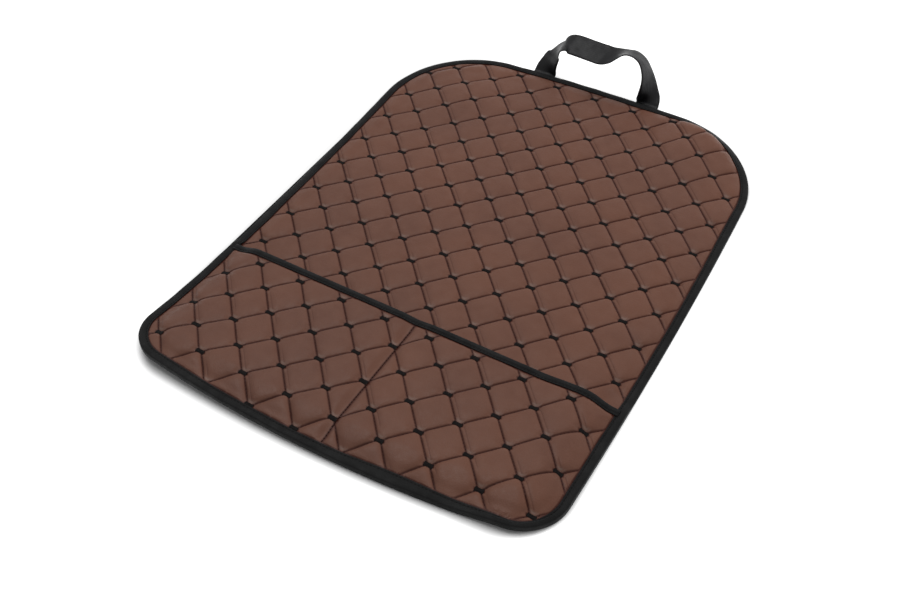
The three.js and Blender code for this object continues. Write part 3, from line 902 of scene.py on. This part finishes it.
def spline(points, t):
    """A smooth curve through the points, at t from 0 to 1."""
    points = np.array(points, float)
    padded = np.r_[[2 * points[0] - points[1]], points, [2 * points[-1] - points[-2]]]
    s = np.clip(t, 0, 1) * (len(points) - 1)
    i = np.minimum(s.astype(int), len(points) - 2)
    f = (s - i)[:, None]
    p0, p1, p2, p3 = (padded[i + k] for k in range(4))
    slope = p2 - p0
    bend = 2 * p0 - 5 * p1 + 4 * p2 - p3
    turn = 3 * p1 - p0 - 3 * p2 + p3
    return 0.5 * (2 * p1 + slope * f + bend * f**2 + turn * f**3)


def strap_way():
    """The webbing's middle, its direction across and its face's direction, ring by ring, and its feet."""
    lying = STRAP_THICKNESS / 2
    stands = [((p[0], TOP_Y + p[1], p[2]), a) for p, a in STRAP_ROUTE]
    feet = [((at[0], TOP_Y, lying), across) for at, across in (stands[0], stands[-1])]
    stands = [feet[0], *stands, feet[1]]
    t = np.linspace(0, 1, STRAP_RINGS)
    middle = spline([p for p, _ in stands], t)
    across = spline([a for _, a in stands], t)
    travel = np.gradient(middle, axis=0)
    travel /= np.linalg.norm(travel, axis=1)[:, None]
    across -= travel * (across * travel).sum(1)[:, None]
    across /= np.linalg.norm(across, axis=1)[:, None]
    return middle, across, np.cross(travel, across), feet


def make_strap(material):
    middle, across, face, feet = strap_way()
    half = STRAP_WIDTH / 2
    shares = np.linspace(-1, 1, 15)
    edge = np.sqrt(np.clip(1 - (np.abs(shares) - 0.94).clip(0) ** 2 / 0.06**2, 0, 1))
    thick = STRAP_THICKNESS / 2 * (0.35 + 0.65 * edge)
    rib = 0.07 * np.cos(shares * math.pi * 7)

    def ring(centre, side, up, cup):
        bend = cup * (1 - shares**2)
        top = centre + shares[:, None] * half * side + (thick + rib + bend)[:, None] * up
        low = centre + shares[:, None] * half * side + (bend - thick - rib)[:, None] * up
        return np.r_[low, top[::-1]]

    def tab_ring(foot, reach):
        """A ring of a flat tab under the mat's edge."""
        centre = np.array([foot[0][0], TOP_Y - reach, STRAP_THICKNESS / 2])
        return ring(centre, np.array(foot[1], float), np.array([0, 0, 1.0]), 0)

    tabs = np.linspace(STRAP_TAB, 1.5, TAB_RINGS)
    rows = [tab_ring(feet[0], reach) for reach in tabs]
    for i in range(1, STRAP_RINGS - 1):
        along = i / (STRAP_RINGS - 1)
        sway = 1.1 * math.sin(along * 9.0) * math.sin(along * math.pi)
        cup = sway + 0.25 * float(noise(along * 300, 7, 22, 91))
        rows.append(ring(middle[i], across[i], face[i], cup))
    rows += [tab_ring(feet[1], reach) for reach in tabs[::-1]]
    return grid_object("carry_strap", np.array(rows), False, material)


# Materials


class Nodes:
    """Short ways to add and join a material's nodes."""

    def __init__(self, name, shader="ShaderNodeBsdfPrincipled"):
        self.material = bpy.data.materials.new(name)
        self.material.use_nodes = True
        self.tree = self.material.node_tree
        self.tree.nodes.clear()
        self.shader = self.add(shader)
        output = self.add("ShaderNodeOutputMaterial")
        self.tree.links.new(self.shader.outputs[0], output.inputs[0])

    def add(self, kind, settings=None, **inputs):
        node = self.tree.nodes.new(kind)
        for key, value in (settings or {}).items():
            setattr(node, key, value)
        for key, value in inputs.items():
            self.set(node, key, value)
        return node

    def set(self, node, key, value):
        socket = node.inputs[int(key[1:]) if key[0] == "i" and key[1:].isdigit() else key.replace("_", " ")]
        if isinstance(value, bpy.types.NodeSocket):
            self.tree.links.new(value, socket)
        elif isinstance(value, bpy.types.Node):
            self.tree.links.new(value.outputs[0], socket)
        else:
            socket.default_value = value

    def math(self, operation, a, b=0.0):
        return self.add("ShaderNodeMath", {"operation": operation}, i0=a, i1=b)

    def vector(self, operation, a, b=(0, 0, 0)):
        node = self.add("ShaderNodeVectorMath", {"operation": operation}, i0=a, i1=b)
        return node.outputs["Value" if operation == "LENGTH" else "Vector"]

    def ramp(self, value, low, high, out_low=0.0, out_high=1.0, kind="LINEAR"):
        return self.add(
            "ShaderNodeMapRange",
            {"interpolation_type": kind},
            Value=value,
            From_Min=low,
            From_Max=high,
            To_Min=out_low,
            To_Max=out_high,
        )

    def mix(self, share, a, b):
        node = self.add("ShaderNodeMix", {"data_type": "RGBA"})
        self.set(node, "i0", share)
        self.set(node, "i6", a)
        self.set(node, "i7", b)
        return node.outputs[2]

    def noise(self, vector, scale, detail=3.0, rough=0.5):
        node = self.add("ShaderNodeTexNoise", None, Vector=vector, Scale=scale, Detail=detail)
        self.set(node, "Roughness", rough)
        return node.outputs["Fac"]

    def position(self):
        return self.add("ShaderNodeTexCoord").outputs["Object"]

    def attribute(self, name):
        return self.add("ShaderNodeAttribute", {"attribute_name": name}).outputs["Fac"]

    def ridge(self, phase):
        """0 to 1 and back with each half turn of the phase."""
        return self.math("ABSOLUTE", self.math("SINE", phase))

    def blend(self, a, b, share):
        """The share of a and the rest of b, as values."""
        return self.math("ADD", self.math("MULTIPLY", a, share), self.math("MULTIPLY", b, 1 - share))

    def bump(self, height, strength, distance, normal=None):
        node = self.add("ShaderNodeBump", None, Height=height, Strength=strength, Distance=distance)
        if normal is not None:
            self.set(node, "Normal", normal)
        return node


def rgb(red, green, blue):
    """A colour as it looks on screen, as the linear values that a shader takes."""

    def linear(value):
        share = value / 255
        return share / 12.92 if share <= 0.04045 else ((share + 0.055) / 1.055) ** 2.4

    return (linear(red), linear(green), linear(blue), 1)


def leatherette():
    n = Nodes("quilted_leatherette")
    place_on = n.position()
    tight_shaded = n.attribute("tight_shaded")
    back = n.attribute("back")
    mottle = n.noise(place_on, 70, 4)
    brown = n.mix(n.ramp(n.noise(place_on, 9, 3), 0.35, 0.65), rgb(90, 60, 49), rgb(97, 64, 51))
    brown = n.mix(n.ramp(mottle, 0.3, 0.75, 0, 0.35), brown, rgb(107, 76, 64))
    # Painted shade: the leather is darkened along the fine crease, beyond what its shallow dent would shade.
    brown = n.mix(n.math("MULTIPLY", n.attribute("fold"), 0.5), brown, rgb(62, 32, 24))
    # Painted highlight: a pale grey just above each bar stands for the sheen on the steep facet there.
    brown = n.mix(n.math("MULTIPLY", n.attribute("bar_sheen"), 0.4), brown, rgb(134, 118, 110))
    # Painted shade: the leather darkens to a deep red-brown within about 2 mm of the stitching and beside
    # the tapes, where the grooves lie in shade.
    brown = n.mix(n.ramp(tight_shaded, 0.33, 0.8, 0, 0.95), brown, rgb(52, 22, 15))
    felt = n.mix(n.ramp(mottle, 0.3, 0.7), rgb(30, 29, 29), rgb(44, 42, 42))
    n.set(n.shader, "Base Color", n.mix(n.ramp(back, 0.4, 0.6), brown, felt))
    rough = n.ramp(n.noise(place_on, 240, 2), 0.3, 0.7, 0.40, 0.52)
    n.set(n.shader, "Roughness", n.math("MAXIMUM", rough, n.math("MULTIPLY", back, 0.95)))
    n.set(n.shader, "Specular IOR Level", 0.15)
    # Soft creases that gather by the stitching, pebbled grain, and fine pores
    near = n.ramp(tight_shaded, 0.02, 0.6, 0.25, 1.0)
    grain = n.add("ShaderNodeTexVoronoi", {"feature": "SMOOTH_F1"}, Vector=place_on, Scale=820.0)
    n.set(grain, "Smoothness", 0.6)
    folds = n.math("MULTIPLY", n.noise(place_on, 95, 3, 0.55), near)
    creases = n.math("MULTIPLY", n.noise(place_on, 210, 5, 0.6), near)
    normal = n.bump(folds, 0.5, 0.0011)
    normal = n.bump(creases, 0.4, 0.0005, normal)
    normal = n.bump(grain.outputs["Distance"], 0.5, 0.00025, normal)
    n.set(n.shader, "Normal", n.bump(n.noise(place_on, 2600, 2), 0.2, 0.00006, normal))
    return n.material


def strip_cloth(name, dark, light, rib_pitch, warp_pitch, rough, shine, ribs_across):
    """Woven strip: ribs one way and finer threads the other, from the strip's own length and girth."""
    n = Nodes(name)
    strip = n.add("ShaderNodeUVMap", {"uv_map": "strip"}).outputs[0]
    parts = n.add("ShaderNodeSeparateXYZ", None, Vector=strip)
    length, girth = parts.outputs[0], parts.outputs[1]
    rib_way, warp_way = (length, girth) if ribs_across else (girth, length)
    # The threads between two ribs lie half a step off those of the next
    step = n.math("ROUND", n.math("MULTIPLY", rib_way, 1 / rib_pitch))
    warp_phase = n.math("MULTIPLY", warp_way, math.pi / warp_pitch)
    warp = n.ridge(n.math("ADD", warp_phase, n.math("MULTIPLY", step, math.pi / 2)))
    rib = n.ridge(n.math("MULTIPLY", rib_way, math.pi / rib_pitch))
    weave = n.blend(rib, warp, 0.65)
    place_on = n.position()
    fuzz = n.noise(place_on, 1500, 3)
    cloudy = n.noise(place_on, 28, 3)
    n.set(n.shader, "Base Color", n.mix(n.ramp(n.blend(weave, cloudy, 0.6), 0.3, 0.85), dark, light))
    uneven = n.math("MULTIPLY", n.ramp(n.noise(place_on, 75, 4, 0.6), 0.35, 0.65), 0.18)
    n.set(n.shader, "Roughness", n.math("ADD", n.ramp(fuzz, 0.3, 0.7, rough - 0.1, rough), uneven))
    n.set(n.shader, "Specular IOR Level", shine)
    n.set(n.shader, "Sheen Weight", 0.04)
    n.set(n.shader, "Sheen Roughness", 0.4)
    n.set(n.shader, "Sheen Tint", (0.75, 0.82, 0.9, 1))
    normal = n.bump(weave, 0.5, 0.0002)
    normal = n.bump(cloudy, 0.5, 0.002, normal)
    n.set(n.shader, "Normal", n.bump(fuzz, 0.3, 0.00012, normal))
    return n.material


def thread_material(name, dark, light):
    n = Nodes(name)
    twist = n.noise(n.position(), 1900, 3)
    n.set(n.shader, "Base Color", n.mix(n.ramp(twist, 0.3, 0.7), dark, light))
    n.set(n.shader, "Roughness", 0.6)
    n.set(n.shader, "Specular IOR Level", 0.12)
    n.set(n.shader, "Normal", n.bump(twist, 0.5, 0.0002))
    return n.material


leather = leatherette()
tape_cloth = strip_cloth("binding_tape", rgb(9, 9, 9), rgb(21, 21, 21), 0.0011, 0.0007, 0.6, 0.12, True)
web_cloth = strip_cloth("webbing", rgb(3, 3, 4), rgb(17, 17, 19), 0.0024, 0.0012, 0.38, 0.18, False)
brown_thread = thread_material("brown_thread", rgb(24, 9, 6), rgb(44, 19, 13))
black_thread = thread_material("black_thread", rgb(7, 5, 5), rgb(17, 13, 12))

# The pieces

mat_panel = quilted(mat_sheet, leather)
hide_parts("back_panel")

pocket_sheet = quilted(pocket, leather)
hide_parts("pocket_panel")

edge_tape = make_edge_tape(tape_cloth)
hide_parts("edge_binding")
mouth_tape = make_mouth_tape(tape_cloth)
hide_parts("pocket_mouth_tape")
carry_strap = make_strap(web_cloth)
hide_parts("carrying_loop")


def divider_height(x, y):
    return pocket_seam(x, y) + pocket_puff(x, y) * 0.9


def rim_seam():
    """The edge tape's seam, a closed path."""
    x, y, in_x, in_y = rim_path(RIM_STEP)
    reach = edge_reach(x, y) - TAPE_SEAM
    path = np.c_[x + in_x * reach, y + in_y * reach]
    return np.r_[path, path[:1]]


def mouth_seam():
    half = 210
    x = np.linspace(MOUTH_MIDDLE + half, MOUTH_MIDDLE - half, 200)
    return np.c_[x, MOUTH_Y + x * math.tan(POCKET_TILT) - (MOUTH_REACH - TAPE_SEAM)]


def on_edge_tape(x, y):
    return lift(x, y) + edge_height(x, y) - 0.25


def on_mouth_tape(x, y):
    return pocket_rise(x, y) + TAPE_HEIGHT - 0.25


mat_thread, mat_bars = Threads(), Threads()
quilt_threads(mat_thread, mat_bars, mat_sheet, lambda x, y: mouth_distance(x, y) > -1.5)
mat_thread.make("mat_quilting_thread", brown_thread)
mat_bars.make("mat_quilting_bars", black_thread)

pocket_thread, pocket_bars = Threads(), Threads()
quilt_threads(pocket_thread, pocket_bars, pocket)
divider_y = np.linspace(MOUTH_Y - 3, BOTTOM_Y + EDGE_REACH + 1, 60)
pocket_thread.stitches(np.c_[divider_line(divider_y), divider_y], divider_height, 3.4, 0.55, 0)
pocket_thread.make("pocket_quilting_thread", brown_thread)
pocket_bars.make("pocket_quilting_bars", black_thread)

tape_thread = Threads()
tape_thread.stitches(rim_seam(), on_edge_tape, TAPE_STITCH, TAPE_THREAD, 0)
tape_thread.stitches(mouth_seam(), on_mouth_tape, TAPE_STITCH, TAPE_THREAD, 0)
tape_thread.make("tape_thread", black_thread)

# Floor, world and lamps, in metres

FLOOR_HALF = 12
FLOOR_BELOW = 0.0002
GLOW_CORNER = 0.05
# The floor's own light begins and ends so far from the mat, and grows to the third value
FLOOR_GLOWS = ((0, 0.011, 0.55), (0.1, 0.9, 0.4))
SKY_LIGHT = 0.34


def seen_ray(tree):
    """1 for rays that see the background: camera, glossy and transmission rays."""
    path = tree.nodes.new("ShaderNodeLightPath")
    seen = path.outputs["Is Camera Ray"]
    for ray in ("Is Glossy Ray", "Is Transmission Ray"):
        either = tree.nodes.new("ShaderNodeMath")
        either.operation = "MAXIMUM"
        tree.links.new(seen, either.inputs[0])
        tree.links.new(path.outputs[ray], either.inputs[1])
        seen = either.outputs[0]
    return seen


def distance_from_mat(n):
    """Distance from a rounded box round the mat, ends bowed as the mat's, plus its corners' radius."""
    from_middle = n.vector("SUBTRACT", n.position(), (SHIFT_X * MM, SHIFT_Y * MM, 0))
    parts = n.add("ShaderNodeSeparateXYZ", None, Vector=n.vector("ABSOLUTE", from_middle))
    across, along = parts.outputs[0], parts.outputs[1]
    bow = (TOP_ARCH + BOTTOM_BOW) / 2 / HALF_WIDTH**2 / MM
    outwards = n.math("MULTIPLY", n.math("MULTIPLY", across, across), bow)
    bowed = n.add("ShaderNodeCombineXYZ", None, X=across, Y=n.math("ADD", along, outwards))
    half = (HALF_WIDTH * MM - GLOW_CORNER, TOP_Y * MM - GLOW_CORNER, 1)
    outside = n.vector("MAXIMUM", n.vector("SUBTRACT", bowed, half))
    return n.vector("LENGTH", outside)


def floor_material():
    """White, with no light of its own in the contact shadow beside the mat."""
    n = Nodes("floor", "ShaderNodeAddShader")
    distance = distance_from_mat(n)
    glows = [
        n.ramp(distance, GLOW_CORNER + near, GLOW_CORNER + far, 0, most, "SMOOTHSTEP")
        for near, far, most in FLOOR_GLOWS
    ]
    strength = n.math("MULTIPLY", seen_ray(n.tree), n.math("ADD", *glows))
    n.set(n.shader, "i0", n.add("ShaderNodeBsdfDiffuse", None, Color=(0.96, 0.96, 0.96, 1)))
    n.set(n.shader, "i1", n.add("ShaderNodeEmission", None, Strength=strength))
    return n.material


def make_floor():
    mesh = bpy.data.meshes.new("floor")
    corners = [(-1, -1), (1, -1), (1, 1), (-1, 1)]
    mesh.from_pydata([(x * FLOOR_HALF, y * FLOOR_HALF, 0) for x, y in corners], [], [(0, 1, 2, 3)])
    mesh.materials.append(floor_material())
    floor = bpy.data.objects.new("floor", mesh)
    floor.location.z = -FLOOR_BELOW
    bpy.context.scene.collection.objects.link(floor)


def make_world():
    world = bpy.data.worlds.new("studio")
    bpy.context.scene.world = world
    world.use_nodes = True
    tree = world.node_tree
    tree.nodes.clear()
    new, link = tree.nodes.new, tree.links.new
    soft = new("ShaderNodeBackground")
    soft.inputs["Strength"].default_value = SKY_LIGHT
    plain = new("ShaderNodeBackground")
    plain.inputs["Color"].default_value = (1, 1, 1, 1)
    plain.inputs["Strength"].default_value = 1.0
    pick = new("ShaderNodeMixShader")
    link(seen_ray(tree), pick.inputs[0])
    link(soft.outputs[0], pick.inputs[1])
    link(plain.outputs[0], pick.inputs[2])
    output = new("ShaderNodeOutputWorld")
    link(pick.outputs[0], output.inputs[0])


def area_lamp(name, place_at, size, power):
    """A square lamp that shines at the middle of the mat."""
    data = bpy.data.lights.new(name, "AREA")
    data.shape = "SQUARE"
    data.size = size
    data.energy = power
    lamp = bpy.data.objects.new(name, data)
    lamp.location = place_at
    lamp.rotation_mode = "QUATERNION"
    lamp.rotation_quaternion = (-Vector(place_at)).to_track_quat("-Z", "Y")
    bpy.context.scene.collection.objects.link(lamp)
    return lamp


make_floor()
make_world()
key = area_lamp("key", (0.75, 1.15, 1.5), 0.9, 21)
key.visible_glossy = False
area_lamp("over", (-0.45, 0.05, 1.9), 1.2, 18)

# Camera, from the photograph's own geometry
camera_data = bpy.data.cameras.new("camera")
camera_data.sensor_width = 36
camera_data.lens = 43.56
camera_data.clip_start = 0.01
camera_data.clip_end = 100
camera = bpy.data.objects.new("camera", camera_data)
look = Vector((-0.3355, 0.6043, -0.7227)).normalized()
camera_up = Vector((-0.3508, 0.6319, 0.6911))
camera_right = look.cross(camera_up).normalized()
camera_up = camera_right.cross(look)
turn = Matrix((camera_right, camera_up, -look)).transposed().to_4x4()
camera_at = Vector((0.4001 + SHIFT_X * MM, -0.7529 + SHIFT_Y * MM, 0.7957))
camera.matrix_world = Matrix.Translation(camera_at) @ turn
bpy.context.scene.collection.objects.link(camera)
bpy.context.scene.camera = camera
bpy.context.scene.view_settings.view_transform = "Standard"

bpy.context.view_layer.update()
